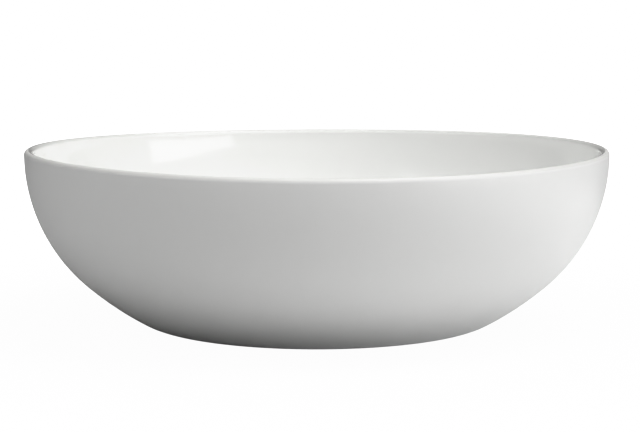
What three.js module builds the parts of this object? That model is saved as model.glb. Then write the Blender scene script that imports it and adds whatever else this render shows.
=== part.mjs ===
// A porcelain serving bowl as a three.js scene graph: a fired clay body, the bare foot ring that
// it stands on, and the three separate coats of glaze that are melted onto it.
// Millimetres, +Z up. The origin is the middle of the circle that the foot stands on.
import * as THREE from 'three';

// Driving dimensions of the finished bowl.
const RIM_RADIUS = 140;
const HEIGHT = 85;
const LIP_THICKNESS = 4.2;
const FLOOR_HEIGHT = 8.2;
const FOOT_RADIUS = 70;
const FOOT_WIDTH = 6.5;

// The glaze, and the hairline gap that keeps each coat a solid of its own.
const GLAZE_THICKNESS = 0.4;
const GLAZE_GAP = 0.1;
const COAT = GLAZE_THICKNESS + GLAZE_GAP;

// The foot: how far it stands out below the wall, how deep the base is recessed inside it, how
// round its two lower edges are, and the bare line between it and the glaze around it.
const FOOT_REVEAL = 1.2;
const BASE_RECESS = 3;
const FOOT_EDGE_RADIUS = 1;
const GLAZE_LINE = 0.3;

// The wall is a chain of arcs from the lip down, each meeting the next without a corner.
// A slope is the angle between the wall and the vertical: 0 at the lip, 90 where it lies flat.
const SHOULDER_END_SLOPE = 50;
const FLANK = { radius: 150, endSlope: 61.5 };
const HEEL = { radius: 26, endSlope: 90 };
const INSIDE_END_SLOPE = 85;
const DISH = { radius: 500, endSlope: 90 };

// Facets: divisions of the full circle, the steepest turn between two points of the wall, and
// the steps in a quarter of a small rounding.
const CIRCLE_SEGMENTS = 60;
const WALL_STEP = 8;
const ROUNDING_STEPS = 3;

// The two glazes meet on the crest of the lip, this many degrees short of it on each side.
const CREST_CLEARANCE = 2;

const sine = (degrees) => Math.sin(THREE.MathUtils.degToRad(degrees));
const cosine = (degrees) => Math.cos(THREE.MathUtils.degToRad(degrees));

// How far an arc of the wall drops between two slopes.
const drop = (radius, fromSlope, toSlope) => radius * (sine(toSlope) - sine(fromSlope));

// The lip is a half circle. Its middle is the height where both faces of the wall begin.
const LIP_RADIUS = LIP_THICKNESS / 2;
const LIP_HEIGHT = HEIGHT - LIP_RADIUS;

// The shoulder and the inside arc take up whatever height the other arcs leave.
const flankDrop = drop(FLANK.radius, SHOULDER_END_SLOPE, FLANK.endSlope);
const heelDrop = drop(HEEL.radius, FLANK.endSlope, HEEL.endSlope);
const shoulderDrop = LIP_HEIGHT - FOOT_REVEAL - flankDrop - heelDrop;
const SHOULDER = { radius: shoulderDrop / sine(SHOULDER_END_SLOPE), endSlope: SHOULDER_END_SLOPE };

const dishDrop = drop(DISH.radius, INSIDE_END_SLOPE, DISH.endSlope);
const insideDrop = LIP_HEIGHT - FLOOR_HEIGHT - dishDrop;
const INSIDE = { radius: insideDrop / sine(INSIDE_END_SLOPE), endSlope: INSIDE_END_SLOPE };

// The heights of the clay's underside, inside the foot and outside it.
const SEAT_HEIGHT = BASE_RECESS + COAT;
const UNDERSIDE_HEIGHT = FOOT_REVEAL + COAT;

// Points down one face of the wall, from the lip. depth is how far they lie under the skin;
// the outside skin is convex, so its arcs shrink with depth, and the inside's grow.
function wallPoints(startRadius, arcs, depth, side) {
  let r = startRadius - side * depth;
  let z = LIP_HEIGHT;
  let slope = 0;
  const points = [new THREE.Vector2(r, z)];
  for (const arc of arcs) {
    const radius = arc.radius - side * depth;
    const steps = Math.ceil((arc.endSlope - slope) / WALL_STEP);
    for (let i = 1; i <= steps; i++) {
      const reached = THREE.MathUtils.lerp(slope, arc.endSlope, i / steps);
      const inward = radius * (cosine(slope) - cosine(reached));
      points.push(new THREE.Vector2(r - inward, z - drop(radius, slope, reached)));
    }
    const last = points[points.length - 1];
    r = last.x;
    z = last.y;
    slope = arc.endSlope;
  }
  return points;
}

const outsidePoints = (depth) => wallPoints(RIM_RADIUS, [SHOULDER, FLANK, HEEL], depth, 1);
const insidePoints = (depth) => wallPoints(RIM_RADIUS - LIP_THICKNESS, [INSIDE, DISH], depth, -1);

// Points around part of a circle: 0 degrees points outward, 90 up.
function arcPoints(centreR, centreZ, radius, fromAngle, toAngle, steps) {
  const points = [];
  for (let i = 0; i <= steps; i++) {
    const angle = THREE.MathUtils.lerp(fromAngle, toAngle, i / steps);
    points.push(new THREE.Vector2(centreR + radius * cosine(angle), centreZ + radius * sine(angle)));
  }
  return points;
}

// Points around the lip at a depth under its skin.
function lipPoints(depth, fromAngle, toAngle, steps = ROUNDING_STEPS) {
  return arcPoints(RIM_RADIUS - LIP_RADIUS, LIP_HEIGHT, LIP_RADIUS - depth, fromAngle, toAngle, steps);
}

// Turns an outline about the +Z axis. An outline that doesn't end on the axis is closed first.
function turned(outline) {
  const first = outline[0];
  const last = outline[outline.length - 1];
  const closed = first.x === 0 && last.x === 0 ? outline : [...outline, first.clone()];
  return new THREE.LatheGeometry(closed, CIRCLE_SEGMENTS).rotateX(Math.PI / 2);
}

// The fired clay, thrown in one piece: its underside, outside wall, lip, inside wall and floor.
function porcelainBody() {
  const seatEdge = FOOT_RADIUS + GLAZE_LINE;
  const inside = insidePoints(COAT);
  const floor = inside[inside.length - 1];
  return turned([
    new THREE.Vector2(0, SEAT_HEIGHT),
    new THREE.Vector2(seatEdge, SEAT_HEIGHT),
    new THREE.Vector2(seatEdge, UNDERSIDE_HEIGHT),
    ...outsidePoints(COAT).reverse(),
    ...lipPoints(COAT, 0, 180, 2 * ROUNDING_STEPS).slice(1, -1),
    ...inside,
    new THREE.Vector2(0, floor.y),
  ]);
}

// The ring of bare clay that the bowl stands on, ground flat underneath with two soft edges.
function footRing() {
  const top = SEAT_HEIGHT - GLAZE_GAP;
  const innerRadius = FOOT_RADIUS - FOOT_WIDTH;
  const innerEdge = innerRadius + FOOT_EDGE_RADIUS;
  const outerEdge = FOOT_RADIUS - FOOT_EDGE_RADIUS;
  const edge = (centreR, from, to) =>
    arcPoints(centreR, FOOT_EDGE_RADIUS, FOOT_EDGE_RADIUS, from, to, ROUNDING_STEPS);
  return turned([
    ...edge(innerEdge, 180, 270),
    ...edge(outerEdge, 270, 360),
    new THREE.Vector2(FOOT_RADIUS, top),
    new THREE.Vector2(innerRadius, top),
  ]);
}

// The coat over the inside, from the crest of the lip to the middle of the floor.
function innerGlaze() {
  const crest = 90 + CREST_CLEARANCE;
  const skin = [...lipPoints(0, crest, 180).slice(0, -1), ...insidePoints(0)];
  const bond = [...lipPoints(GLAZE_THICKNESS, crest, 180).slice(0, -1), ...insidePoints(GLAZE_THICKNESS)];
  const floorHeight = skin[skin.length - 1].y;
  return turned([
    new THREE.Vector2(0, floorHeight - GLAZE_THICKNESS),
    ...bond.reverse(),
    ...skin,
    new THREE.Vector2(0, floorHeight),
  ]);
}

// The coat over the outside, from the foot up to the crest of the lip.
function outerGlaze() {
  const crest = 90 - CREST_CLEARANCE;
  const footLine = FOOT_RADIUS + GLAZE_LINE;
  const skin = [...outsidePoints(0).reverse(), ...lipPoints(0, 0, crest).slice(1)];
  const bond = [
    ...outsidePoints(GLAZE_THICKNESS).reverse(),
    ...lipPoints(GLAZE_THICKNESS, 0, crest).slice(1),
  ];
  return turned([
    new THREE.Vector2(footLine, FOOT_REVEAL),
    ...skin,
    ...bond.reverse(),
    new THREE.Vector2(footLine, FOOT_REVEAL + GLAZE_THICKNESS),
  ]);
}

// The round patch of glaze on the base, inside the foot.
function baseGlaze() {
  const radius = FOOT_RADIUS - FOOT_WIDTH - GLAZE_LINE;
  return turned([
    new THREE.Vector2(0, BASE_RECESS),
    new THREE.Vector2(radius, BASE_RECESS),
    new THREE.Vector2(radius, BASE_RECESS + GLAZE_THICKNESS),
    new THREE.Vector2(0, BASE_RECESS + GLAZE_THICKNESS),
  ]);
}

const clay = { color: 0xe9e4d8, roughness: 0.8, metalness: 0 };
const glaze = { color: 0xf1f0ec, roughness: 0.18, metalness: 0 };

const pieces = [
  { name: 'porcelain_body', geometry: porcelainBody(), finish: clay },
  { name: 'foot_ring', geometry: footRing(), finish: clay },
  { name: 'inner_glaze', geometry: innerGlaze(), finish: glaze },
  { name: 'outer_glaze', geometry: outerGlaze(), finish: glaze },
  { name: 'base_glaze', geometry: baseGlaze(), finish: glaze },
];

const group = new THREE.Group();
for (const { name, geometry, finish } of pieces) {
  const mesh = new THREE.Mesh(geometry, new THREE.MeshStandardMaterial(finish));
  mesh.name = name;
  group.add(mesh);
}

export default group;
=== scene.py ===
"""The looks of a porcelain serving bowl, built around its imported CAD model.

Each faceted CAD node is replaced by a fine surface of revolution with the same outline: the clay,
the bare foot and the three coats of glaze. Metres, +Z up, in the CAD model's own frame.
"""

from math import ceil, cos, log2, pi, radians, sin, tau

import bpy
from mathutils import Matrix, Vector


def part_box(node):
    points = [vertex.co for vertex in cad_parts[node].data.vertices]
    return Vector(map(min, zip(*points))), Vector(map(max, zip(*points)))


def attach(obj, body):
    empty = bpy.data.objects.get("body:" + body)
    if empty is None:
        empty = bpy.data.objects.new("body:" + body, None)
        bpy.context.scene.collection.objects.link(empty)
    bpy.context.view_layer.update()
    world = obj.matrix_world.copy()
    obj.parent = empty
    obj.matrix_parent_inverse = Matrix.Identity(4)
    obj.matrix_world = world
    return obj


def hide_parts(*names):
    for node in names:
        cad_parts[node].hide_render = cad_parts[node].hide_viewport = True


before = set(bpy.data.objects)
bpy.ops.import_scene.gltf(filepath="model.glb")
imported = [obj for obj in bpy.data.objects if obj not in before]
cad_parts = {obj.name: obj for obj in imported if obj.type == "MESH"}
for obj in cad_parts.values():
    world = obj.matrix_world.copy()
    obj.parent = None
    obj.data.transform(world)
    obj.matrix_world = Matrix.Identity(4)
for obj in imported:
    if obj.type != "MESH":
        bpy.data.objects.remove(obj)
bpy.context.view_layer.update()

# ---------------------------------------------------------------- sizes

# Driving sizes, read from the frame.
RIM_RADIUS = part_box("outer_glaze")[1].x
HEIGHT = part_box("outer_glaze")[1].z
FOOT_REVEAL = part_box("outer_glaze")[0].z
FOOT_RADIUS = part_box("foot_ring")[1].x
FOOT_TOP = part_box("foot_ring")[1].z
BASE_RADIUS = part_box("base_glaze")[1].x
BASE_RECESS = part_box("base_glaze")[0].z

# Sizes that a node's box doesn't show.
GLAZE = 0.0004
GLAZE_GAP = 0.0001
COAT = GLAZE + GLAZE_GAP
LIP_RADIUS = 0.0021
FOOT_WIDTH = 0.0065
FOOT_EDGE_RADIUS = 0.001
GLAZE_LINE = 0.0003
FLOOR_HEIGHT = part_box("inner_glaze")[0].z + GLAZE

# The wall's arcs from the lip down, as slopes from the vertical in degrees.
SHOULDER_END_SLOPE = 50
FLANK = {"radius": 0.15, "end_slope": 61.5}
HEEL = {"radius": 0.026, "end_slope": 90}
INSIDE_END_SLOPE = 85
DISH = {"radius": 0.5, "end_slope": 90}

# The inside glaze thins towards the lip: it is this much thicker below that depth, and the extra
# fades out again towards the floor.
SWELL = 0.0005
SWELL_DEPTH = 0.012
SWELL_FADE = 0.04

# The outside glaze sags while it is molten, so it thickens below this height, and it ends at the
# foot in a roll that stands down from the underside by the roll's drop.
SAG = 0.0004
SAG_HEIGHT = 0.022
ROLL_DROP = 0.00012
ROLL_LENGTH = 0.0025

# The base glaze runs down the inside of the foot in a cove.
COVE_RADIUS = 0.0012

# The kiln leaves the rim very slightly saddle shaped: high near this azimuth, low across it.
WARP = 0.0009
WARP_AZIMUTH = radians(8)

# The lip is painted greyer this far to each side of its crest: the glaze is thin there, and the grey
# is also painted shade for the little light that falls on the crest.
LIP_CREST = 0.0017

# Fineness of the visible surface: divisions of the full circle, the steepest turn in degrees
# between two points of the wall, and the steps around the lip, a small rounding and a straight.
SEGMENTS = 240
WALL_STEP = 1.5
LIP_STEPS = 18
EDGE_STEPS = 6
FLAT_STEPS = 8
# Edges that turn more than this many degrees are shaded as creases.
CREASE = 40

# ---------------------------------------------------------------- outlines


def sine(degrees):
    return sin(radians(degrees))


def cosine(degrees):
    return cos(radians(degrees))


def drop(radius, slope, end_slope):
    """How far an arc of the wall drops between two slopes."""
    return radius * (sine(end_slope) - sine(slope))


LIP_HEIGHT = HEIGHT - LIP_RADIUS
CREST_RADIUS = RIM_RADIUS - LIP_RADIUS
FLANK_DROP = drop(FLANK["radius"], SHOULDER_END_SLOPE, FLANK["end_slope"])
HEEL_DROP = drop(HEEL["radius"], FLANK["end_slope"], HEEL["end_slope"])
SHOULDER_DROP = LIP_HEIGHT - FOOT_REVEAL - FLANK_DROP - HEEL_DROP
SHOULDER = {"radius": SHOULDER_DROP / sine(SHOULDER_END_SLOPE), "end_slope": SHOULDER_END_SLOPE}
DISH_DROP = drop(DISH["radius"], INSIDE_END_SLOPE, DISH["end_slope"])
INSIDE_DROP = LIP_HEIGHT - FLOOR_HEIGHT - DISH_DROP
INSIDE = {"radius": INSIDE_DROP / sine(INSIDE_END_SLOPE), "end_slope": INSIDE_END_SLOPE}


def wall_points(start_radius, arcs, depth, side):
    """Points down one face of the wall from the lip.

    depth is how far they lie under the skin. side is 1 for the outside and -1 for the inside.
    """
    r = start_radius - side * depth
    z = LIP_HEIGHT
    slope = 0
    points = [(r, z)]
    for arc in arcs:
        radius = arc["radius"] - side * depth
        steps = ceil((arc["end_slope"] - slope) / WALL_STEP)
        for i in range(1, steps + 1):
            reached = slope + (arc["end_slope"] - slope) * i / steps
            inward = radius * (cosine(slope) - cosine(reached))
            points.append((r - inward, z - drop(radius, slope, reached)))
        r, z = points[-1]
        slope = arc["end_slope"]
    return points


def outside_points(depth):
    return wall_points(RIM_RADIUS, [SHOULDER, FLANK, HEEL], depth, 1)


def inside_points(depth):
    return wall_points(RIM_RADIUS - 2 * LIP_RADIUS, [INSIDE, DISH], depth, -1)


def arc_points(centre, radius, start, end, steps):
    """Points around part of a circle, angles in degrees: 0 points outward, 90 up."""
    turns = [start + (end - start) * i / steps for i in range(steps + 1)]
    return [(centre[0] + radius * cosine(t), centre[1] + radius * sine(t)) for t in turns]


def lip_points(depth, start, end, steps=LIP_STEPS):
    """Points around the lip at a depth under its skin."""
    return arc_points((CREST_RADIUS, LIP_HEIGHT), LIP_RADIUS - depth, start, end, steps)


def line_points(start, end, steps=FLAT_STEPS):
    """Points along a straight stretch, without its two ends."""
    shares = [i / steps for i in range(1, steps)]
    return [(start[0] + (end[0] - start[0]) * s, start[1] + (end[1] - start[1]) * s) for s in shares]


def eased(share):
    """A smooth step: 0 up to a share of 0, and 1 from a share of 1."""
    share = min(1, max(0, share))
    return share * share * (3 - 2 * share)


def body_outline():
    """The fired clay: its underside, outside wall, lip, inside wall and floor."""
    seat = FOOT_TOP + GLAZE_GAP
    seat_edge = FOOT_RADIUS + GLAZE_LINE
    underside = FOOT_REVEAL + COAT
    inside = inside_points(COAT)
    floor = inside[-1][1]
    return [
        (0, seat),
        *line_points((0, seat), (seat_edge, seat)),
        (seat_edge, seat),
        (seat_edge, underside),
        *reversed(outside_points(COAT)),
        *lip_points(COAT, 0, 180, 2 * LIP_STEPS)[1:-1],
        *inside,
        *line_points(inside[-1], (0, floor)),
        (0, floor),
    ]


def foot_outline():
    """The bare foot, ground flat underneath with two soft edges."""
    inner = FOOT_RADIUS - FOOT_WIDTH
    inner_centre = (inner + FOOT_EDGE_RADIUS, FOOT_EDGE_RADIUS)
    outer_centre = (FOOT_RADIUS - FOOT_EDGE_RADIUS, FOOT_EDGE_RADIUS)
    return [
        *arc_points(inner_centre, FOOT_EDGE_RADIUS, 180, 270, EDGE_STEPS),
        *arc_points(outer_centre, FOOT_EDGE_RADIUS, 270, 360, EDGE_STEPS),
        (FOOT_RADIUS, FOOT_TOP),
        (inner, FOOT_TOP),
    ]


def swollen(point):
    """A point of the inside skin, moved in where the glaze is thick."""
    r, z = point
    share = eased((LIP_HEIGHT - z) / SWELL_DEPTH) * eased((z - FLOOR_HEIGHT) / SWELL_FADE)
    return (r - SWELL * share, z)


def inner_glaze_outline():
    """The coat over the inside, from the crest of the lip to the middle of the floor."""
    skin = [*lip_points(0, 90, 180)[:-1], *(swollen(point) for point in inside_points(0))]
    bond = [*lip_points(GLAZE, 90, 180)[:-1], *inside_points(GLAZE)]
    skin_centre = (0, skin[-1][1])
    bond_centre = (0, bond[-1][1])
    return [
        bond_centre,
        *line_points(bond_centre, bond[-1]),
        *reversed(bond),
        *skin,
        *line_points(skin[-1], skin_centre),
        skin_centre,
    ]


def sagged(point):
    """A point of the outside skin, lowered where the glaze is thick."""
    r, z = point
    return (r, z - SAG * eased((SAG_HEIGHT - z) / (SAG_HEIGHT - FOOT_REVEAL)))


def outer_glaze_outline():
    """The coat over the outside, from its roll at the foot up to the crest of the lip."""
    foot_line = FOOT_RADIUS + GLAZE_LINE
    skin = [sagged(point) for point in outside_points(0)]
    skin_end = (foot_line + GLAZE / 2, FOOT_REVEAL)
    run = line_points(skin_end, skin[-1])
    roll = [(r, z - ROLL_DROP * cosine(90 * min(1, (r - foot_line) / ROLL_LENGTH))) for r, z in run]
    end_centre = (foot_line + GLAZE / 2, FOOT_REVEAL + GLAZE / 2)
    return [
        *reversed(arc_points(end_centre, GLAZE / 2, 90, 270, EDGE_STEPS)),
        *roll,
        *reversed(skin),
        *lip_points(0, 0, 90)[1:],
        *reversed(lip_points(GLAZE, 0, 90)[1:]),
        *outside_points(GLAZE),
    ]


def base_glaze_outline():
    """The round patch of glaze inside the foot, with a cove where it meets the foot."""
    cove_centre = (BASE_RADIUS - COVE_RADIUS, BASE_RECESS - COVE_RADIUS)
    back = BASE_RECESS + GLAZE
    centre = (0, BASE_RECESS)
    cove = arc_points(cove_centre, COVE_RADIUS, 90, 0, EDGE_STEPS)
    return [
        centre,
        *line_points(centre, cove[0]),
        *cove,
        (BASE_RADIUS, back),
        *line_points((BASE_RADIUS, back), (0, back)),
        (0, back),
    ]


# ---------------------------------------------------------------- meshes


def fired(r, z, azimuth):
    """A point of the outline turned to its azimuth, with the rim's slight warp."""
    lift = WARP * (r / RIM_RADIUS) ** 2 * (z / HEIGHT) * cos(2 * (azimuth - WARP_AZIMUTH))
    return (r * cos(azimuth), r * sin(azimuth), z + lift)


def revolve(name, outline):
    """A piece whose mesh is the outline turned about +Z.

    An outline that doesn't end on the axis closes on itself.
    """
    azimuths = [tau * i / SEGMENTS for i in range(SEGMENTS)]
    vertices = []
    rings = []
    for r, z in outline:
        if r == 0:
            rings.append([len(vertices)] * SEGMENTS)
            vertices.append((0, 0, z))
        else:
            rings.append(range(len(vertices), len(vertices) + SEGMENTS))
            vertices += [fired(r, z, azimuth) for azimuth in azimuths]
    pairs = list(zip(rings, rings[1:]))
    if outline[0][0] != 0:
        pairs.append((rings[-1], rings[0]))
    faces = []
    for low, high in pairs:
        for i in range(SEGMENTS):
            j = (i + 1) % SEGMENTS
            corners = [low[i], low[j], high[j], high[i]]
            faces.append(list(dict.fromkeys(corners)))
    mesh = bpy.data.meshes.new(name)
    mesh.from_pydata(vertices, [], faces)
    mesh.validate()
    mesh.shade_smooth()
    mesh.set_sharp_from_angle(angle=radians(CREASE))
    piece = bpy.data.objects.new(name, mesh)
    bpy.context.scene.collection.objects.link(piece)
    return piece


# ---------------------------------------------------------------- materials

# Noise patterns. scale is features to the metre, and detail is how many finer layers there are. A
# patchy pattern fades over its span of the noise, and a raised one stands its height in metres.
CLOUD = {"scale": 14, "detail": 3, "span": (0.35, 0.65)}
GLOSS = {"scale": 60, "detail": 3, "span": (0.3, 0.7)}
WAVE = {"scale": 22, "detail": 1, "height": 0.0002}
PEEL = {"scale": 420, "detail": 2, "height": 0.00001}
SPECKLE = {"scale": 900, "detail": 4, "roughness": 0.7, "span": (0.4, 0.7)}
CHALK = {"scale": 300, "detail": 3, "span": (0.3, 0.7)}
GRAIN = {"scale": 2500, "detail": 3, "height": 0.00004}

CLAY_ROUGHNESS = (0.75, 0.95)
GLAZE_IOR = 1.5
# The greyer colour of the lip's crest: partly thin glaze, partly painted shade for the crest's dim
# light.
LIP_SHADE_COLOUR = (0.72, 0.717, 0.7)

# The darker colour low on the glaze, and the heights where it begins and is full. Inside it is painted
# shade, which keeps the bowl's floor from burning out under the light from above; outside it darkens
# towards the foot.
INSIDE_FLOOR_SHADE = {"tint": (0.81, 0.822, 0.812), "top": 0.055, "bottom": 0.012}
OUTSIDE_FOOT_DARKENING = {"tint": (0.87, 0.876, 0.866), "top": 0.022, "bottom": 0.003}


class Nodes:
    """A material's node tree, with short calls for the nodes that the materials share."""

    def __init__(self, name):
        self.material = bpy.data.materials.new(name)
        self.material.use_nodes = True
        self.tree = self.material.node_tree
        self.shader = self.tree.nodes["Principled BSDF"]
        self.place = self.tree.nodes.new("ShaderNodeTexCoord").outputs["Object"]

    def link(self, output, socket):
        self.tree.links.new(output, socket)

    def noise(self, pattern):
        """The noise of a pattern, from 0 to 1."""
        node = self.tree.nodes.new("ShaderNodeTexNoise")
        node.inputs["Scale"].default_value = pattern["scale"]
        node.inputs["Detail"].default_value = pattern["detail"]
        node.inputs["Roughness"].default_value = pattern.get("roughness", 0.5)
        self.link(self.place, node.inputs["Vector"])
        return node.outputs["Fac"]

    def remap(self, value, low, high, to_low, to_high):
        """value from the range low..high to the range to_low..to_high, held at its ends."""
        node = self.tree.nodes.new("ShaderNodeMapRange")
        node.interpolation_type = "SMOOTHSTEP"
        self.link(value, node.inputs["Value"])
        sockets = ("From Min", "From Max", "To Min", "To Max")
        for socket, number in zip(sockets, (low, high, to_low, to_high)):
            node.inputs[socket].default_value = number
        return node.outputs["Result"]

    def patches(self, pattern, low, high):
        """Patches of a pattern, which vary between two values."""
        return self.remap(self.noise(pattern), *pattern["span"], low, high)

    def relief(self, pattern, before=None):
        """The bumps of a pattern, on top of earlier ones."""
        node = self.tree.nodes.new("ShaderNodeBump")
        node.inputs["Distance"].default_value = pattern["height"]
        self.link(self.noise(pattern), node.inputs["Height"])
        if before:
            self.link(before, node.inputs["Normal"])
        return node.outputs["Normal"]

    def mix(self, factor, first, second):
        """A colour between two, each a tuple or another node's output."""
        node = self.tree.nodes.new("ShaderNodeMix")
        node.data_type = "RGBA"
        self.link(factor, node.inputs["Factor"])
        # The node's inputs 6 and 7 are its colours A and B, and its output 2 is their mix.
        for socket, colour in ((node.inputs[6], first), (node.inputs[7], second)):
            if isinstance(colour, tuple):
                socket.default_value = (*colour, 1)
            else:
                self.link(colour, socket)
        return node.outputs[2]

    def product(self, first, second):
        node = self.tree.nodes.new("ShaderNodeMath")
        node.operation = "MULTIPLY"
        self.link(first, node.inputs[0])
        self.link(second, node.inputs[1])
        return node.outputs["Value"]

    def vector_math(self, operation, first, second):
        """An operation on another node's vector and a fixed one."""
        node = self.tree.nodes.new("ShaderNodeVectorMath")
        node.operation = operation
        self.link(first, node.inputs[0])
        node.inputs[1].default_value = second
        return node.outputs

    def distance(self, centre):
        """The distance from a point, in metres."""
        return self.vector_math("DISTANCE", self.place, centre)["Value"]

    def axis_distance(self):
        """The distance from the bowl's axis, in metres."""
        level = self.vector_math("MULTIPLY", self.place, (1, 1, 0))["Vector"]
        return self.vector_math("DISTANCE", level, (0, 0, 0))["Value"]

    def height(self):
        """The height above the table, in metres."""
        node = self.tree.nodes.new("ShaderNodeSeparateXYZ")
        self.link(self.place, node.inputs["Vector"])
        return node.outputs["Z"]


def lip_shade_share(nodes):
    """1 on the crest of the lip, where its grey is painted shade, and 0 once the wall turns down from
    it.
    """
    radius = nodes.axis_distance()
    high = nodes.remap(nodes.height(), LIP_HEIGHT - 2 * WARP, LIP_HEIGHT, 0, 1)
    inside = nodes.remap(radius, CREST_RADIUS - LIP_RADIUS, CREST_RADIUS - LIP_CREST, 0, 1)
    outside = nodes.remap(radius, CREST_RADIUS + LIP_CREST, CREST_RADIUS + LIP_RADIUS, 1, 0)
    return nodes.product(high, nodes.product(inside, outside))


def glaze_material(name, body_colour, thick_colour, low_darkening, smooth, rough):
    """Clear glaze over white clay: nearly even, but faintly cloudy, wavy and orange-peeled.

    It is greyer on the lip, where the glaze is thin and painted shade stands for the crest's dim
    light, and darker low down: painted shade on the inside floor, and a darkening towards the foot
    outside.
    """
    nodes = Nodes(name)
    cloudy = nodes.mix(nodes.patches(CLOUD, 0, 1), body_colour, thick_colour)
    # Darker low down: painted shade on the inside, a darkening towards the foot on the outside.
    darkened_low = nodes.remap(nodes.height(), low_darkening["bottom"], low_darkening["top"], 1, 0)
    colour = nodes.mix(darkened_low, cloudy, low_darkening["tint"])
    # The crest of the lip is painted greyer: thin glaze, and painted shade.
    nodes.link(nodes.mix(lip_shade_share(nodes), colour, LIP_SHADE_COLOUR), nodes.shader.inputs["Base Color"])
    nodes.link(nodes.patches(GLOSS, smooth, rough), nodes.shader.inputs["Roughness"])
    nodes.link(nodes.relief(PEEL, nodes.relief(WAVE)), nodes.shader.inputs["Normal"])
    nodes.shader.inputs["IOR"].default_value = GLAZE_IOR
    return nodes.material


def clay_material(name, pale, warm):
    """Bare fired porcelain: chalky, finely speckled and slightly warm."""
    nodes = Nodes(name)
    nodes.link(nodes.mix(nodes.patches(SPECKLE, 0, 1), pale, warm), nodes.shader.inputs["Base Color"])
    nodes.link(nodes.patches(CHALK, *CLAY_ROUGHNESS), nodes.shader.inputs["Roughness"])
    nodes.link(nodes.relief(GRAIN), nodes.shader.inputs["Normal"])
    return nodes.material


GLOSS_GLAZE = glaze_material(
    "gloss_glaze", (0.935, 0.935, 0.918), (0.925, 0.927, 0.91), INSIDE_FLOOR_SHADE, smooth=0.05, rough=0.08
)
# The outside glaze's colours are a little darker than the inside's, though one glaze covers both:
# painted shade.
SATIN_GLAZE = glaze_material(
    "satin_glaze", (0.905, 0.905, 0.895), (0.895, 0.897, 0.887), OUTSIDE_FOOT_DARKENING, smooth=0.32, rough=0.38
)
CLAY = clay_material("fired_clay", (0.8, 0.78, 0.73), (0.74, 0.71, 0.64))
FOOT_CLAY = clay_material("ground_clay", (0.78, 0.75, 0.69), (0.68, 0.63, 0.55))

# ---------------------------------------------------------------- pieces

# Piece name, the CAD node it replaces, its outline, its material and the record's slot.
PIECES = [
    ("clay", "porcelain_body", body_outline(), CLAY, "porcelain_clay"),
    ("foot", "foot_ring", foot_outline(), FOOT_CLAY, "bare_foot"),
    ("glaze_inside", "inner_glaze", inner_glaze_outline(), GLOSS_GLAZE, "inside_glaze"),
    ("glaze_outside", "outer_glaze", outer_glaze_outline(), SATIN_GLAZE, "outside_glaze"),
    ("glaze_base", "base_glaze", base_glaze_outline(), SATIN_GLAZE, "outside_glaze"),
]

for name, node, outline, material, slot in PIECES:
    piece = revolve(name, outline)
    piece.data.materials.append(material)
    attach(piece, "root")
    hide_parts(node)

# ---------------------------------------------------------------- stage

# Brightness is a share of white. Everything is lit this many times dimmer than it shows, and the
# exposure makes it up, so that the soft shoulder of the highlights has room above white.
HEADROOM = 1.7

FLOOR_RADIUS = 30
FLOOR_SIDES = 64
# How much light the floor sends back to the bowl, and how much of it the camera sees. The rest of
# what the camera sees is a glow, weaker beside the bowl than from the second radius on, so that
# the floor stays white and the bowl's shadow on it stays faint.
FLOOR_BOUNCE = 0.65
FLOOR_SHOWN = 0.25
FLOOR_GLOW = (1.1, 1.8)
GLOW_RADII = (0.15, 0.5)
# Mirrored in the glaze, the floor is darker, but for a patch to the bowl's right that glows only in
# reflections: painted light that brightens the bowl's lower right.
FLOOR_MIRRORED = 0.25
REFLECTED_GLOW_CENTRE = (0.35, -0.05, 0)
REFLECTED_GLOW_RADIUS = 0.45
REFLECTED_GLOW = 1.6

# Softboxes, all facing the bowl: name, azimuth, elevation, distance, width, height and brightness.
# Azimuth 0 is behind the camera and 90 is to its right.
SOFTBOXES = [
    ("top", 10, 75, 1.4, 1.2, 0.8, 3.85),
    ("right", 75, 58, 1.4, 1.0, 0.8, 3.5),
    ("left", 295, 43, 1.4, 1.0, 0.6, 1.45),
    ("back", 180, 60, 1.4, 1.0, 0.6, 1.8),
    ("window", 60, 9, 1.2, 0.9, 0.36, 3.4),
]


def ray_is(tree, kind):
    """A node output that is 1 for one kind of ray, such as Camera or Glossy, and 0 for the others."""
    return tree.nodes.new("ShaderNodeLightPath").outputs[f"Is {kind} Ray"]


def grey(value):
    return (value, value, value)


def floor_material():
    """Matt and pale: glowing white to the camera, plain to the bowl, and dimmer in its gloss but for a
    glowing patch, painted light that only reflections show.
    """
    nodes = Nodes("floor")
    seen = ray_is(nodes.tree, "Camera")
    mirrored = ray_is(nodes.tree, "Glossy")
    reflected = nodes.mix(mirrored, grey(FLOOR_BOUNCE), grey(FLOOR_MIRRORED))
    nodes.link(nodes.mix(seen, reflected, grey(FLOOR_SHOWN)), nodes.shader.inputs["Base Color"])
    glow = nodes.remap(nodes.distance((0, 0, 0)), *GLOW_RADII, *FLOOR_GLOW)
    # A glowing patch on the floor that only reflections show: painted light.
    reflected_glow = nodes.remap(nodes.distance(REFLECTED_GLOW_CENTRE), 0, REFLECTED_GLOW_RADIUS, REFLECTED_GLOW, 0)
    emitted = nodes.mix(seen, nodes.mix(mirrored, grey(0), reflected_glow), glow)
    nodes.link(emitted, nodes.shader.inputs["Emission Color"])
    nodes.shader.inputs["Emission Strength"].default_value = 1 / HEADROOM
    nodes.shader.inputs["Specular IOR Level"].default_value = 0
    return nodes.material


def add_floor():
    mesh = bpy.data.meshes.new("floor")
    turns = [tau * i / FLOOR_SIDES for i in range(FLOOR_SIDES)]
    corners = [(FLOOR_RADIUS * cos(turn), FLOOR_RADIUS * sin(turn), 0) for turn in turns]
    mesh.from_pydata(corners, [], [range(FLOOR_SIDES)])
    floor = bpy.data.objects.new("floor", mesh)
    mesh.materials.append(floor_material())
    bpy.context.scene.collection.objects.link(floor)


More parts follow.
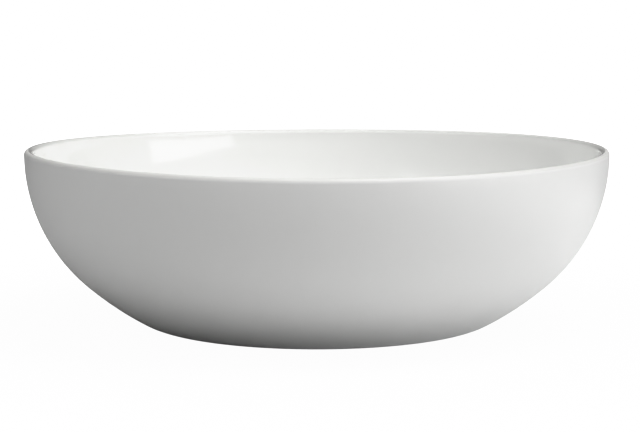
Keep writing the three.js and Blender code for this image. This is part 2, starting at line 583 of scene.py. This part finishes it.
def add_softbox(name, azimuth, elevation, distance, width, height, brightness):
    level = distance * cosine(elevation)
    place = Vector((level * sine(azimuth), -level * cosine(azimuth), distance * sine(elevation)))
    light = bpy.data.lights.new(name, "AREA")
    light.shape = "RECTANGLE"
    light.size = width
    light.size_y = height
    light.energy = pi * width * height * brightness / HEADROOM
    lamp = bpy.data.objects.new(name, light)
    lamp.location = place
    lamp.rotation_euler = place.to_track_quat("Z", "Y").to_euler()
    lamp.visible_camera = False
    bpy.context.scene.collection.objects.link(lamp)


def add_world():
    """White behind the floor's far edge, and dark to the bowl, so that only the softboxes light it."""
    world = bpy.data.worlds.new("studio")
    world.use_nodes = True
    tree = world.node_tree
    tree.nodes["Background"].inputs["Color"].default_value = (*grey(1), 1)
    tree.links.new(ray_is(tree, "Camera"), tree.nodes["Background"].inputs["Strength"])
    bpy.context.scene.world = world


add_floor()
add_world()
for softbox in SOFTBOXES:
    add_softbox(*softbox)

# ---------------------------------------------------------------- camera

# The camera stands a little above the rim and looks slightly down. Its aim is a hair to the
# bowl's right, which is where the middle of the frame falls.
CAMERA_DISTANCE = 0.98
CAMERA_HEIGHT = 0.1682
AIM = Vector((0.0015, 0, 0.0523))
LENS_MM = 114.57

lens = bpy.data.cameras.new("camera")
lens.lens = LENS_MM
camera = bpy.data.objects.new("camera", lens)
camera.location = (0, -CAMERA_DISTANCE, CAMERA_HEIGHT)
camera.rotation_euler = (AIM - camera.location).to_track_quat("-Z", "Y").to_euler()
bpy.context.scene.collection.objects.link(camera)
bpy.context.scene.camera = camera

# ---------------------------------------------------------------- exposure

# Brightness as lit, and as it shows: equal up to the first pair, then bending over to white.
HIGHLIGHTS = [(0.88, 0.88), (1.02, 0.955), (1.25, 0.985), (HEADROOM, 1.0)]


def expose(view):
    """Soft highlights. The curve acts first, on the dim picture, and the exposure brightens it."""
    view.view_transform = "Standard"
    view.exposure = log2(HEADROOM)
    view.use_curve_mapping = True
    tones = view.curve_mapping
    all_colours = tones.curves[3]
    *bends, white = [(lit / HEADROOM, shown / HEADROOM) for lit, shown in HIGHLIGHTS]
    all_colours.points[-1].location = white
    for bend in bends:
        all_colours.points.new(*bend)
    # The curve is straight from black to the first bend.
    for point in all_colours.points[:2]:
        point.handle_type = "VECTOR"
    tones.update()


expose(bpy.context.scene.view_settings)
